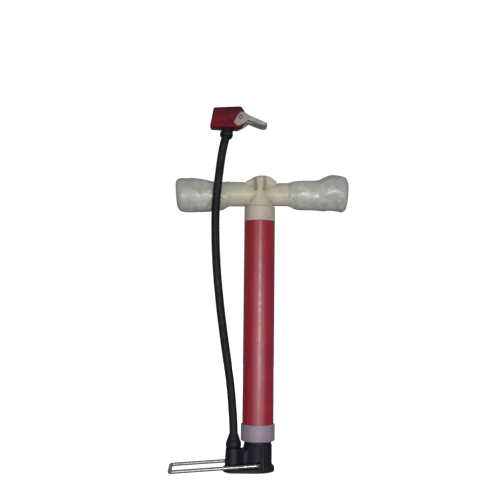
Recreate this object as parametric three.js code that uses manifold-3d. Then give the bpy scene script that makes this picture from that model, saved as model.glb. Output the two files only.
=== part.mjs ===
// Ball inflation pump: a T-handled hand pump with a wire foot stirrup, a rubber hose and a valve head that
// a thumb lever locks.
// Units are millimetres, +Z is up. The origin is the centre of the base's underside, on the barrel's axis.
// The hose boss and the stirrup lie towards -X, and the front is towards -Y.

import * as THREE from 'three';
import { mergeVertices } from 'three/addons/utils/BufferGeometryUtils.js';
import Module from 'manifold-3d';

const wasm = await Module();
wasm.setup();

// ---------------------------------------------------------------- driving dimensions

const GAP = 0.3; // clearance left between pieces that touch
const LONG = 80; // reach of a cutting tool that goes right through

const BARREL = { outer: 15, inner: 13.5, bottom: 33.3, top: 239 };
const COLLAR = { outer: 16.3, bottom: 28.8, shoulder: 33, top: 44.6 };
const CAP = { spigotBottom: 228, spigotInner: 9.5, web: 231.5, top: 253.5 };
const BUSH = { stem: 6, flange: 8, bottom: 233, shoulder: 250.8 };

const FOOT = {
  centreX: -8.7, halfLength: 24.4, halfDepth: 15.5, fullness: 0.75, thick: 4, toeX: 6, toeThick: 6.2,
};
const BODY = { radius: 13.1, rib: 0.5, ribs: 13, ribStep: 13, ribWidth: 6, top: 25.5 };
const SPIGOT = { radius: 13, top: 39, grooveBottom: 34, grooveTop: 36.6, grooveRadius: 11.4 };
const BOSS = { x: -23, y: -6, topRadius: 7.3, footRadius: 8.2, top: 22.6, webHalf: 4, webTop: 19.6 };
const PASSAGE = { radius: 1.8, well: 3, z: 6 };
const VALVE = { bore: 4.5, floor: 8.5, seatTop: 10, seatHole: 2, ball: 3, ballZ: 12.5, springTop: 19.2 };
const SPRING = { turns: 2.5, coil: 2.6, wire: 0.35, steps: 30 };
const NUT = { bottom: 22.9, top: 35.2, widest: 7.4, widestZ: 26, mouth: 4.7 };
const BARB = {
  radius: 1.9, hole: 1.1, thread: 4.2, flange: 5.5, bottom: 19.5, flangeTop: 24.6, top: 33.5, socket: 2.9,
};

const ROD = { radius: 4, bottom: 43.5, top: 276, flange: 6, flangeBottom: 65.3, flangeTop: 67 };
const PISTON = {
  radius: 13.2, lip: 1, lipBottom: 45, cupFloor: 52, cupTop: 55, bodyTop: 65, bumper: 8, bumperTop: 71,
  washer: 9, washerThick: 1.3, nutCorners: 6.4, nutBottom: 46,
};

const HANDLE = { z: 266.3, bottom: 253.8, hub: 12.6, neck: 12, core: 9.5, coreStart: 30.5, coreEnd: 75 };
const HUB_TOP = { dome: 284.2, shoulder: 279, flat: 4.5, skirtTop: 255.8, coneTop: 264.8 };
const FLUTE = { radius: 1.7, places: [-112.5, -67.5, 67.5, 112.5], outset: 0.8, bottom: 270.3 };
const HEX_NUT = { acrossCorners: 7.5, bottom: 254.3, top: 260 };

const WIRE = { radius: 1.75, armY: 19, endX: -81.3, pivotX: 1, pivotZ: 8.3, bend: 6, holeDepth: 8.5 };

const HOSE = { outer: 4, inner: 2.3, sides: 12, steps: 28 };
const HEAD = {
  x: -19.2, y: -27, z: 334.2, halfDepth: 8, round: 4.5, bore: 6, boreEnd: -8.6, slotStart: -6.6,
};
const CLAMP = {
  ringFace: -25.9, ringBack: -23.4, ringOuter: 6.6, ringHole: 4.3, rubberEnd: -18.3, rubberHole: 3.2,
};
const PLUNGER = {
  front: -16, back: -12.5, stem: 2.2, end: -4.3, airHole: 1.2, airHoles: [45, 135, 225, 315], airCircle: 3.9,
};
const LEVER = { cheekInner: 8.3, cheekOuter: 10.1, web: 12.4, tongue: 2.3, pin: 1.5 };
const CAM = { low: 4, high: 6, throwDegrees: 95 };
const SOCKET = { x: -10.6, direction: new THREE.Vector3(-0.182, -0.25, -1).normalize() };
const FERRULE = { radius: 5.7, start: 7, end: 19.4, barbStart: 7, hoseEnd: 12 };

// The hose leaves the boss straight up, leans on the front of the left grip and enters the head from below.
const HOSE_ROUTE = [
  [-23, -6, 25], [-23, -6, 32], [-23.1, -6, 40], [-23.5, -6.2, 48], [-24.3, -6.7, 58],
  [-25.4, -7.5, 71], [-27.1, -8.8, 86], [-29.3, -10.2, 101], [-31.7, -11.6, 117], [-34, -12.9, 133],
  [-36.2, -14, 149], [-38.1, -15, 165], [-39.8, -15.9, 181], [-41.1, -16.7, 197], [-42, -17.4, 213],
  [-42.5, -17.8, 229], [-42.6, -18, 243], [-42.1, -18.2, 256], [-41.2, -18.9, 267], [-40.1, -21, 277],
  [-38.9, -24.4, 286], [-37.6, -28.4, 294.5], [-36.1, -31.3, 303], [-34.7, -32.5, 309.5],
  [-33.5, -32, 314.6], [-32.6, -30.8, 318.9], [-31.9, -29.9, 322.7],
];

// Grip sleeves as [distance from the pump's axis, height of the middle, half height], rim to tip.
const LEFT_GRIP = [
  [31, 265.8, 12.9], [40, 264.2, 14.2], [52, 264.2, 15.4], [62, 264.5, 16.3], [72, 264.7, 16.5],
  [78.4, 264.8, 15.6], [81, 266, 12],
];
const RIGHT_GRIP = [
  [29, 266.2, 12.3], [35, 265.4, 13.6], [46, 265.3, 14.8], [55, 265.2, 15.5], [62, 266.4, 16.8],
  [69, 268.2, 17.8], [76, 267.4, 17.4], [81.5, 266.3, 17.2], [84.6, 265.6, 12.6],
];
const GRIP_DEPTH = 0.95; // a grip's depth over its height
const GRIP_END_SLANT = 0.11; // lean of a grip's end face, in millimetres per millimetre

// ---------------------------------------------------------------- colours

const finish = (color, roughness, metalness = 0) => ({ color, roughness, metalness });
const MILKY = finish(0xb9b4a2, 0.45);
const SLEEVE = finish(0xa3a59b, 0.35);
const LILAC = finish(0x97899a, 0.45);
const RED_TUBE = finish(0x8c2834, 0.4);
const RED_HEAD = finish(0x7e141c, 0.4);
const BLACK = finish(0x1c1c22, 0.5);
const RUBBER = finish(0x202020, 0.8);
const GREY = finish(0x8e918f, 0.5);
const WHITE = finish(0xd9d7cf, 0.6);
const STEEL = finish(0xb5b8bc, 0.3, 1);
const BRASS = finish(0xb08d4a, 0.35, 1);

// ---------------------------------------------------------------- geometry helpers

/** Merges shared corners, drops collapsed triangles and turns every face outwards. */
function closed(geometry) {
  for (const name of Object.keys(geometry.attributes)) {
    if (name !== 'position') geometry.deleteAttribute(name);
  }
  const merged = mergeVertices(geometry, 1e-4);
  const corners = [new THREE.Vector3(), new THREE.Vector3(), new THREE.Vector3()];
  const faces = [];
  let volume = 0;
  for (let i = 0; i < merged.index.count; i += 3) {
    const face = [0, 1, 2].map((k) => merged.index.getX(i + k));
    if (new Set(face).size < 3) continue;
    corners.forEach((corner, k) => corner.fromBufferAttribute(merged.attributes.position, face[k]));
    volume += corners[0].dot(corners[1].cross(corners[2]));
    faces.push(face);
  }
  if (volume < 0) faces.forEach((face) => face.reverse());
  merged.setIndex(faces.flat());
  merged.computeVertexNormals();
  return merged;
}

function toSolid(geometry) {
  const welded = closed(geometry);
  return new wasm.Manifold(new wasm.Mesh({
    numProp: 3,
    vertProperties: welded.attributes.position.array,
    triVerts: Uint32Array.from(welded.index.array),
  }));
}

function fromSolid(solid) {
  const mesh = solid.getMesh();
  const geometry = new THREE.BufferGeometry();
  geometry.setAttribute('position', new THREE.BufferAttribute(mesh.vertProperties, 3));
  geometry.setIndex(new THREE.BufferAttribute(mesh.triVerts, 1));
  geometry.computeVertexNormals();
  return geometry;
}

/** Joins the first list of shapes and cuts the second list out of them. */
function carve(shapes, cuts) {
  let result = toSolid(shapes[0]);
  for (const shape of shapes.slice(1)) result = result.add(toSolid(shape));
  for (const cut of cuts) result = result.subtract(toSolid(cut));
  return fromSolid(result);
}

/** Turns a profile of [radius, height] points about Z; a profile off the axis closes on itself. */
function turned(profile, segments = 24) {
  const points = profile.map(([radius, height]) => new THREE.Vector2(radius, height));
  const onAxis = profile[0][0] === 0 && profile[profile.length - 1][0] === 0;
  if (!onAxis) points.push(points[0].clone());
  return new THREE.LatheGeometry(points, segments).rotateX(Math.PI / 2);
}

const disc = (radius, bottom, top, segments) =>
  turned([[0, bottom], [radius, bottom], [radius, top], [0, top]], segments);

const ring = (inner, outer, bottom, top, segments) =>
  turned([[inner, bottom], [outer, bottom], [outer, top], [inner, top]], segments);

function box(x, y, z) {
  const size = [x, y, z].map(([low, high]) => high - low);
  const middle = [x, y, z].map(([low, high]) => (low + high) / 2);
  return new THREE.BoxGeometry(...size).translate(...middle);
}

/** A straight-sided block of an outline in the XY plane, from bottom to top. */
function block(points, bottom, top) {
  const outline = new THREE.Shape(points.map(([x, y]) => new THREE.Vector2(x, y)));
  return new THREE.ExtrudeGeometry(outline, { depth: top - bottom, bevelEnabled: false })
    .translate(0, 0, bottom);
}

/** Points on a circle, or on part of one, about a centre. */
function arc(radius, sides, from = 0, to = 360, centre = [0, 0]) {
  const whole = to - from === 360;
  return Array.from({ length: whole ? sides : sides + 1 }, (_, i) => {
    const angle = THREE.MathUtils.degToRad(from + (i * (to - from)) / sides);
    return [centre[0] + radius * Math.cos(angle), centre[1] + radius * Math.sin(angle)];
  });
}

/** Sweeps a round section of the given sides along a curve; an inner radius makes it hollow. */
function swept(curve, radius, sides, steps, inner = 0) {
  const section = new THREE.Shape(arc(radius, sides).map(([x, y]) => new THREE.Vector2(x, y)));
  if (inner > 0) {
    section.holes.push(new THREE.Path(arc(inner, sides).map(([x, y]) => new THREE.Vector2(x, y))));
  }
  return new THREE.ExtrudeGeometry(section, { steps, extrudePath: curve, bevelEnabled: false });
}

/** A path through fixed stations with one sweep step to each, so that straight stretches stay plain. */
class Stations extends THREE.Curve {
  constructor(stations) {
    super();
    this.stations = stations;
  }

  getPoint(t, target = new THREE.Vector3()) {
    const place = t * (this.stations.length - 1);
    const before = Math.min(Math.floor(place), this.stations.length - 2);
    return target.lerpVectors(this.stations[before], this.stations[before + 1], place - before);
  }

  getUtoTmapping(u) {
    return u;
  }
}

/** A side outline in the XZ plane, given as [x, z], made as thick as the Y range says. */
function sidePlate(points, yLow, yHigh) {
  return block(points, 0, yHigh - yLow).rotateX(Math.PI / 2).translate(0, yHigh, 0);
}

const alongX = (geometry) => geometry.rotateY(Math.PI / 2);
const alongSocket = (geometry) => geometry
  .applyQuaternion(new THREE.Quaternion().setFromUnitVectors(new THREE.Vector3(0, 0, 1), SOCKET.direction))
  .translate(SOCKET.x, 0, 0);

// ---------------------------------------------------------------- assembly

const pump = new THREE.Group();
const head = new THREE.Group();
head.position.set(HEAD.x, HEAD.y, HEAD.z);
pump.add(head);

function addPart(name, geometry, { color, roughness, metalness }, parent = pump) {
  const material = new THREE.MeshStandardMaterial({ color, roughness, metalness });
  const mesh = new THREE.Mesh(closed(geometry), material);
  mesh.name = name;
  parent.add(mesh);
  return mesh;
}

// ---------------------------------------------------------------- base and its air way

function ribbedOutline() {
  const { radius, rib, ribs, ribStep, ribWidth } = BODY;
  const firstRib = (-(ribs - 1) / 2) * ribStep;
  const points = [];
  for (let i = 0; i < ribs; i += 1) {
    const middle = firstRib + i * ribStep;
    points.push(...arc(radius + rib, 1, middle - ribWidth / 2, middle + ribWidth / 2));
    points.push(...arc(radius, 1, middle + ribWidth / 2 + 1, middle + ribStep - ribWidth / 2 - 1));
  }
  return points.concat(arc(radius + rib, 12, -firstRib + ribStep, 360 + firstRib - ribStep));
}

function footOutline() {
  const fuller = (value) => Math.sign(value) * Math.abs(value) ** FOOT.fullness;
  return arc(1, 40).map(([x, y]) => [FOOT.centreX + fuller(x) * FOOT.halfLength, fuller(y) * FOOT.halfDepth]);
}

/** The web between the body and the boss, along the line that joins their axes. */
function acrossToBoss(geometry) {
  return geometry.rotateZ(Math.atan2(-BOSS.y, -BOSS.x));
}

const inBoss = (geometry) => geometry.translate(BOSS.x, BOSS.y, 0);

function baseGeometry() {
  const reach = Math.hypot(BOSS.x, BOSS.y);
  const spigot = turned([
    [0, 1], [SPIGOT.radius, 1], [SPIGOT.radius, SPIGOT.grooveBottom],
    [SPIGOT.grooveRadius, SPIGOT.grooveBottom], [SPIGOT.grooveRadius, SPIGOT.grooveTop],
    [SPIGOT.radius, SPIGOT.grooveTop], [SPIGOT.radius, SPIGOT.top - 1], [SPIGOT.radius - 1, SPIGOT.top],
    [0, SPIGOT.top],
  ], 36);
  const bossFlare = turned([
    [0, 0], [BOSS.footRadius, 0], [BOSS.footRadius, FOOT.thick],
    [BOSS.topRadius + 0.4, BOSS.top - 6], [BOSS.topRadius, BOSS.top], [0, BOSS.top],
  ], 28);
  const toe = box([FOOT.toeX, LONG], [-LONG, LONG], [-1, LONG]);
  const toeBlock = fromSolid(toSolid(block(footOutline(), 0, FOOT.toeThick)).intersect(toSolid(toe)));
  const pivotHole = new THREE.CylinderGeometry(WIRE.radius + GAP, WIRE.radius + GAP, LONG, 16);
  const holeY = WIRE.holeDepth + LONG / 2;
  const pivotHoles = [-1, 1].map(
    (side) => pivotHole.clone().translate(WIRE.pivotX, side * holeY, WIRE.pivotZ),
  );
  return carve([
    block(footOutline(), 0, FOOT.thick),
    toeBlock,
    block(ribbedOutline(), 0, BODY.top),
    spigot,
    inBoss(bossFlare),
    acrossToBoss(box([-reach, -reach / 4], [-BOSS.webHalf, BOSS.webHalf], [0, BOSS.webTop])),
  ], [
    disc(PASSAGE.well, PASSAGE.z - PASSAGE.radius, LONG, 20),
    acrossToBoss(alongX(disc(PASSAGE.radius, -reach, 0, 12)).translate(0, 0, PASSAGE.z)),
    inBoss(disc(VALVE.seatHole, PASSAGE.z - PASSAGE.radius, LONG, 16)),
    inBoss(disc(VALVE.bore, VALVE.floor, LONG, 24)),
    ...pivotHoles,
  ]);
}

addPart('base', baseGeometry(), BLACK);
addPart('base_gasket', ring(
  SPIGOT.grooveRadius + GAP, BARREL.inner - GAP, SPIGOT.grooveBottom + GAP, SPIGOT.grooveTop - GAP,
), RUBBER);

addPart('check_valve_seat', inBoss(
  ring(VALVE.seatHole, VALVE.bore - GAP, VALVE.floor + GAP, VALVE.seatTop, 20),
), RUBBER);
addPart('check_valve_ball', inBoss(
  new THREE.SphereGeometry(VALVE.ball, 16, 10).rotateX(Math.PI / 2).translate(0, 0, VALVE.ballZ),
), STEEL);

/** A round-wire coil spring that stands on the ball. */
function springGeometry() {
  const { turns, coil, wire, steps } = SPRING;
  const low = VALVE.ballZ + VALVE.ball + GAP + wire;
  const rise = VALVE.springTop - wire - low;
  const helix = Array.from({ length: steps + 1 }, (_, i) => {
    const angle = (i / steps) * turns * 2 * Math.PI;
    return new THREE.Vector3(coil * Math.cos(angle), coil * Math.sin(angle), low + (i / steps) * rise);
  });
  return swept(new THREE.CatmullRomCurve3(helix), wire, 5, steps);
}
addPart('check_valve_spring', inBoss(springGeometry()), STEEL);

addPart('hose_barb', inBoss(turned([
  [BARB.hole, BARB.bottom], [BARB.thread, BARB.bottom], [BARB.thread, BOSS.top + GAP],
  [BARB.flange, BOSS.top + GAP], [BARB.flange, BARB.flangeTop], [BARB.radius, BARB.flangeTop],
  [BARB.radius, BARB.top], [BARB.hole, BARB.top],
], 24)), BRASS);
addPart('hose_nut', inBoss(turned([
  [BARB.flange + GAP, NUT.bottom], [NUT.widest - 0.6, NUT.bottom], [NUT.widest, NUT.widestZ],
  [NUT.mouth + 0.9, NUT.top - 3.5], [NUT.mouth, NUT.top], [HOSE.outer + GAP, NUT.top],
  [HOSE.outer + GAP, BARB.flangeTop + 1], [BARB.flange + GAP, BARB.flangeTop + 1],
], 28)), BLACK);

// ---------------------------------------------------------------- barrel, collar and top cap

addPart('bottom_collar', turned([
  [SPIGOT.radius + GAP, COLLAR.bottom], [COLLAR.outer - 0.6, COLLAR.bottom],
  [COLLAR.outer, COLLAR.bottom + 0.8],
  [COLLAR.outer, COLLAR.top - 0.5], [COLLAR.outer - 0.4, COLLAR.top], [BARREL.outer + GAP, COLLAR.top],
  [BARREL.outer + GAP, COLLAR.shoulder], [SPIGOT.radius + GAP, COLLAR.shoulder],
], 40), LILAC);
addPart('barrel', ring(BARREL.inner, BARREL.outer, BARREL.bottom, BARREL.top, 40), RED_TUBE);
addPart('top_cap', turned([
  [CAP.spigotInner, CAP.spigotBottom], [BARREL.inner - GAP, CAP.spigotBottom], [BARREL.inner - GAP, BARREL.top + GAP],
  [BARREL.outer, BARREL.top + GAP], [BARREL.outer, CAP.top - 0.5], [BARREL.outer - 0.5, CAP.top],
  [BUSH.flange + GAP, CAP.top], [BUSH.flange + GAP, BUSH.shoulder - GAP],
  [BUSH.stem + GAP, BUSH.shoulder - GAP],
  [BUSH.stem + GAP, CAP.web], [CAP.spigotInner, CAP.web],
], 40), MILKY);
addPart('guide_bush', turned([
  [ROD.radius + GAP, BUSH.bottom], [BUSH.stem, BUSH.bottom], [BUSH.stem, BUSH.shoulder],
  [BUSH.flange, BUSH.shoulder], [BUSH.flange, CAP.top - GAP], [ROD.radius + GAP, CAP.top - GAP],
], 24), WHITE);

// ---------------------------------------------------------------- piston

addPart('piston_rod', turned([
  [0, ROD.bottom], [ROD.radius, ROD.bottom], [ROD.radius, ROD.flangeBottom], [ROD.flange, ROD.flangeBottom],
  [ROD.flange, ROD.flangeTop], [ROD.radius, ROD.flangeTop], [ROD.radius, ROD.top], [0, ROD.top],
], 24), STEEL);
addPart('piston_body', ring(ROD.radius + GAP, PISTON.radius, PISTON.cupTop + GAP, PISTON.bodyTop), WHITE);
addPart('piston_cup', turned([
  [ROD.radius + GAP, PISTON.cupFloor], [PISTON.radius - 2 * PISTON.lip, PISTON.cupFloor],
  [PISTON.radius - PISTON.lip, PISTON.lipBottom],
  [PISTON.radius, PISTON.lipBottom], [PISTON.radius, PISTON.cupTop], [ROD.radius + GAP, PISTON.cupTop],
]), RUBBER);
const washerBottom = PISTON.cupFloor - GAP - PISTON.washerThick;
addPart('cup_washer', ring(
  ROD.radius + GAP, PISTON.washer, washerBottom, PISTON.cupFloor - GAP, 28,
), STEEL);
addPart('piston_nut', carve(
  [block(arc(PISTON.nutCorners, 6), PISTON.nutBottom, washerBottom - GAP)],
  [disc(ROD.radius + GAP, 0, LONG, 24)],
), STEEL);
addPart('bump_washer', ring(
  ROD.radius + GAP, PISTON.bumper, ROD.flangeTop + GAP, PISTON.bumperTop, 28,
), RUBBER);

// ---------------------------------------------------------------- handle

function handleGeometry() {
  const { z, bottom, hub, neck, core, coreStart, coreEnd } = HANDLE;
  const hubShape = turned([
    [0, bottom], [BARREL.outer, bottom], [BARREL.outer, HUB_TOP.skirtTop], [hub, HUB_TOP.coneTop],
    [hub, HUB_TOP.shoulder], [hub - 4, HUB_TOP.dome - 1], [HUB_TOP.flat, HUB_TOP.dome], [0, HUB_TOP.dome],
  ], 32);
  const bar = turned([
    [0, -coreEnd], [core - 2, -coreEnd], [core, 2 - coreEnd], [core, -coreStart], [neck, -coreStart],
    [neck, coreStart - 2], [core, coreStart - 2], [core, coreEnd - 2], [core - 2, coreEnd], [0, coreEnd],
  ], 32);
  const flutes = FLUTE.places.map((degrees) => {
    const [[x, y]] = arc(hub + FLUTE.outset, 1, degrees, degrees + 1);
    return disc(FLUTE.radius, FLUTE.bottom, HUB_TOP.dome + LONG, 12).translate(x, y, 0);
  });
  return carve([hubShape, alongX(bar).translate(0, 0, z)], [
    ...flutes,
    disc(ROD.radius + GAP, 0, ROD.top + GAP, 24),
    block(arc(HEX_NUT.acrossCorners + GAP, 6), 0, HEX_NUT.top + GAP),
  ]);
}

/** A closed-ended sleeve on one arm; side is -1 for the left arm and 1 for the right one. */
function gripGeometry(rows, side) {
  const rim = rows[0][0];
  const tip = rows[rows.length - 1][0];
  const profile = [[0, rim], ...rows.map(([distance, , radius]) => [radius, distance]), [0, tip]];
  const skin = turned(profile, 28);
  const places = skin.attributes.position;
  for (let i = 0; i < places.count; i += 1) {
    const along = places.getZ(i);
    const next = Math.max(1, rows.findIndex(([distance]) => distance >= along));
    const [low, high] = [rows[next - 1], rows[next]];
    const middle = THREE.MathUtils.mapLinear(along, low[0], high[0], low[1], high[1]);
    const up = places.getX(i);
    const lean = along > tip - 6 ? up * GRIP_END_SLANT : 0;
    places.setXYZ(i, side * (along + lean), places.getY(i) * GRIP_DEPTH, middle + up);
  }
  const bore = disc(HANDLE.core + GAP, 0, HANDLE.coreEnd + GAP, 28);
  const boreAcross = alongX(bore).scale(side, side, 1).translate(0, 0, HANDLE.z);
  return carve([skin], [boreAcross]);
}

addPart('handle', handleGeometry(), MILKY);
addPart('grip_sleeve_left', gripGeometry(LEFT_GRIP, -1), SLEEVE);
addPart('grip_sleeve_right', gripGeometry(RIGHT_GRIP, 1), SLEEVE);
addPart('rod_nut', carve(
  [block(arc(HEX_NUT.acrossCorners, 6), HEX_NUT.bottom, HEX_NUT.top)],
  [disc(ROD.radius + GAP, 0, ROD.top, 24)],
), STEEL);

// ---------------------------------------------------------------- stirrup

/** A U of wire whose ends turn inwards into the base, and whose far end rests on the floor. */
function stirrupGeometry() {
  const { radius, armY, endX, pivotX, pivotZ, bend, holeDepth } = WIRE;
  const corners = [
    [pivotX, -holeDepth - 0.5, pivotZ], [pivotX, -armY, pivotZ], [endX, -armY, radius],
    [endX, armY, radius], [pivotX, armY, pivotZ], [pivotX, holeDepth + 0.5, pivotZ],
  ].map((corner) => new THREE.Vector3(...corner));
  const stations = [corners[0]];
  for (let i = 1; i < corners.length - 1; i += 1) {
    const round = i === 1 || i === corners.length - 2 ? bend / 2 : bend;
    const towards = (to) => corners[i].clone().add(to.clone().sub(corners[i]).setLength(round));
    const corner = new THREE.QuadraticBezierCurve3(
      towards(corners[i - 1]), corners[i], towards(corners[i + 1]),
    );
    stations.push(...corner.getPoints(5));
  }
  stations.push(corners[corners.length - 1]);
  return swept(new Stations(stations), radius, 10, stations.length - 1);
}
addPart('stirrup', stirrupGeometry(), STEEL);

// ---------------------------------------------------------------- hose

const hoseCurve = new THREE.CatmullRomCurve3(HOSE_ROUTE.map((point) => new THREE.Vector3(...point)));
addPart('hose', swept(hoseCurve, HOSE.outer, HOSE.sides, HOSE.steps, HOSE.inner), RUBBER);

// ---------------------------------------------------------------- valve head, about the lever's pin

// Side outline as [x, z]: a slanted mouth end on the left and a chamfered tail on the right.
const HEAD_OUTLINE = [[-29.4, -9], [-2.6, -10.2], [3.2, -4.8], [4.6, 4.6], [0.4, 11], [-25.9, 9.8]];

/** The head's rounded block, grown all round by a clearance. */
function headBlock(grow = 0) {
  const outline = new THREE.Shape(HEAD_OUTLINE.map(([x, z]) => new THREE.Vector2(x, z)));
  return new THREE.ExtrudeGeometry(outline, {
    depth: 2 * (HEAD.halfDepth - HEAD.round),
    bevelSize: HEAD.round,
    bevelOffset: grow - HEAD.round,
    bevelThickness: HEAD.round + grow,
    bevelSegments: 4,
  }).translate(0, 0, HEAD.round - HEAD.halfDepth).rotateX(Math.PI / 2);
}

const slotHalf = LEVER.tongue + GAP;
const pinHole = (radius) => new THREE.CylinderGeometry(radius, radius, LONG, 20);

addPart('head_body', carve([headBlock()], [
  alongX(disc(HEAD.bore, -LONG, HEAD.boreEnd, 28)),
  alongX(disc(CLAMP.ringOuter + GAP, -LONG, CLAMP.ringBack + GAP, 28)),
  alongX(disc(PLUNGER.stem + GAP, HEAD.boreEnd - 1, 0, 20)),
  box([HEAD.slotStart, LONG], [-slotHalf, slotHalf], [-LONG, LONG]),
  pinHole(LEVER.pin + GAP),
  alongSocket(disc(BARB.socket + GAP, 0, LONG, 20)),
]), RED_HEAD, head);

addPart('mouth_ring', alongX(
  ring(CLAMP.ringHole, CLAMP.ringOuter, CLAMP.ringFace, CLAMP.ringBack, 28),
), BLACK, head);
addPart('mouth_grommet', alongX(
  ring(CLAMP.rubberHole, HEAD.bore - GAP, CLAMP.ringBack + GAP, CLAMP.rubberEnd, 28),
), RUBBER, head);

/** A pierced disc that squeezes the grommet, on a stem that the lever's cam pushes. */
function plungerGeometry() {
  const airHoles = PLUNGER.airHoles.map((degrees) => {
    const [[y, z]] = arc(PLUNGER.airCircle, 1, degrees, degrees + 1);
    return alongX(disc(PLUNGER.airHole, -LONG, LONG, 10)).translate(0, y, z);
  });
  return carve([
    alongX(disc(HEAD.bore - GAP, PLUNGER.front, PLUNGER.back, 28)),
    alongX(disc(PLUNGER.stem, PLUNGER.back - 1, PLUNGER.end, 20)),
  ], airHoles);
}
addPart('head_plunger', plungerGeometry(), WHITE, head);

addPart('head_barb', alongSocket(turned([
  [BARB.hole, FERRULE.barbStart], [BARB.socket, FERRULE.barbStart], [BARB.socket, FERRULE.hoseEnd - 1.5],
  [BARB.radius, FERRULE.hoseEnd - 1.5], [BARB.radius, FERRULE.end], [BARB.hole, FERRULE.end],
], 20)), BRASS, head);

addPart('head_ferrule', carve([
  alongSocket(turned([
    [0, FERRULE.start], [FERRULE.radius, FERRULE.start], [FERRULE.radius, FERRULE.end - 2],
    [FERRULE.radius - 0.7, FERRULE.end], [0, FERRULE.end],
  ], 28)),
], [
  headBlock(GAP),
  alongSocket(disc(HOSE.outer + GAP, 0, LONG, 24)),
]), BLACK, head);

// ---------------------------------------------------------------- thumb lever

// Side outline as [x, z] about the pin: a cheek with a slanted edge, and an arm that slopes down to its tip.
const LEVER_OUTLINE = [
  [-5.6, -4.2], [-1.6, -6.4], [2, -5], [6.3, -3.6], [15.4, -7], [19.2, -8.2], [23.3, -7.4], [24.9, -4.6],
  [6.2, 4.2], [4.2, 5], [0.6, 6.6],
];

/** The cam grows evenly from the side that faces the plunger to the side the throw brings round. */
function camOutline() {
  const { low, high, throwDegrees } = CAM;
  const points = [];
  for (let degrees = 0; degrees < 360; degrees += 10) {
    const share = THREE.MathUtils.clamp((180 - degrees) / throwDegrees, 0, 1);
    const radius = low + (high - low) * share;
    points.push(...arc(radius, 1, degrees, degrees + 1).slice(0, 1));
  }
  return points;
}

function leverGeometry() {
  const { cheekInner, cheekOuter, web, tongue, pin } = LEVER;
  const arm = carve(
    [sidePlate(LEVER_OUTLINE, -cheekOuter, cheekOuter)],
    [sidePlate(arc(web, 40), -cheekInner, cheekInner)],
  );
  const tongueBar = sidePlate([[0, -3.5], [web + 1, -4.5], [web + 1, 0.5], [0, 3.5]], -tongue, tongue);
  const cam = sidePlate(camOutline(), -tongue, tongue);
  return carve([arm, tongueBar, cam], [pinHole(pin + GAP)]);
}
addPart('lever', leverGeometry(), GREY, head);
const pinLength = 2 * LEVER.cheekOuter + 1;
addPart('lever_pin', new THREE.CylinderGeometry(LEVER.pin, LEVER.pin, pinLength, 20), STEEL, head);

export default pump;
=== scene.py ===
"""The looks of the ball inflation pump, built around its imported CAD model.

Shapes are worked out in millimetres in the model's frame and scaled to metres when their mesh is made.
Turned pieces are lathed from a profile with filleted corners. Moulded pieces are signed distance fields,
joined with soft fillets, whose surface is meshed on a fine grid.
"""
import math

import bmesh
import bpy
import numpy as np
from mathutils import Matrix, Vector, noise


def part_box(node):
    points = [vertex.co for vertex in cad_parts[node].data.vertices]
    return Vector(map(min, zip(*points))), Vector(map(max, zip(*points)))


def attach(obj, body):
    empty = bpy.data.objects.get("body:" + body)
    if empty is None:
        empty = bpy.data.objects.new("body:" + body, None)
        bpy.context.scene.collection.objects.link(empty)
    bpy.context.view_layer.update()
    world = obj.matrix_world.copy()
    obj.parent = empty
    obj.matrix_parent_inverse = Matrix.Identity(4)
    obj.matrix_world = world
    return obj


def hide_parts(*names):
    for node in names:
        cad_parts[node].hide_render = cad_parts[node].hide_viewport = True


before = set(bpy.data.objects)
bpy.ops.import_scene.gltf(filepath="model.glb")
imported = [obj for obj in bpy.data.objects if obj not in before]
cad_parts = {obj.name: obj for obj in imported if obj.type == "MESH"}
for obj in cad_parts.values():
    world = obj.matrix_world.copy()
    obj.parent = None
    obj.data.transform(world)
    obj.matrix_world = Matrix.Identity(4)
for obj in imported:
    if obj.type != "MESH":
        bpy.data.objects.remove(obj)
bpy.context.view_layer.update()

MM = 0.001
GAP = 0.3  # clearance left between pieces that touch
ALONG_X = np.array([1.0, 0, 0])
WELD_MM = 0.0005  # points of a mesh that are this near each other are one


def box_mm(node):
    """Lowest and highest corner of a CAD node, in millimetres."""
    low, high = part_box(node)
    return np.array(low) / MM, np.array(high) / MM


def heights(node):
    """Lowest and highest z of a CAD node, in millimetres."""
    low, high = box_mm(node)
    return low[2], high[2]


def placed(name, data):
    """A new object in the scene."""
    thing = bpy.data.objects.new(name, data)
    bpy.context.scene.collection.objects.link(thing)
    return thing


# ------------ camera

LENS_MM, SENSOR_MM = 54.43, 36
CAMERA_MM = (-9.2, -736.1, 143.1)
PITCH_UP, ROLL = math.radians(5.29), math.radians(0.583)


def make_camera():
    data = bpy.data.cameras.new("camera")
    data.lens, data.sensor_width = LENS_MM, SENSOR_MM
    data.clip_start, data.clip_end = 0.01, 20
    camera = placed("camera", data)
    turn = Matrix.Rotation(math.pi / 2 + PITCH_UP, 4, "X") @ Matrix.Rotation(ROLL, 4, "Z")
    camera.matrix_world = Matrix.Translation(Vector(CAMERA_MM) * MM) @ turn
    bpy.context.scene.camera = camera


make_camera()

# ------------ sizes

BOSS = (-23, -6)  # x and y of the hose boss
AT_BOSS = (0, 0, 1), (*BOSS, 0)  # its axis, as a direction and a place
ARM_Z = 266.3  # height of the handle's arms
ROD_RADIUS = 4
HEAD_PIN = np.array([-19.2, -27, 334.2])  # the lever's pin, about which the head is described
SOCKET_X = -10.6  # the hose's socket, from the pin
SOCKET_DIRECTION = np.array([-0.182, -0.25, -1]) / np.linalg.norm([-0.182, -0.25, -1])

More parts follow.
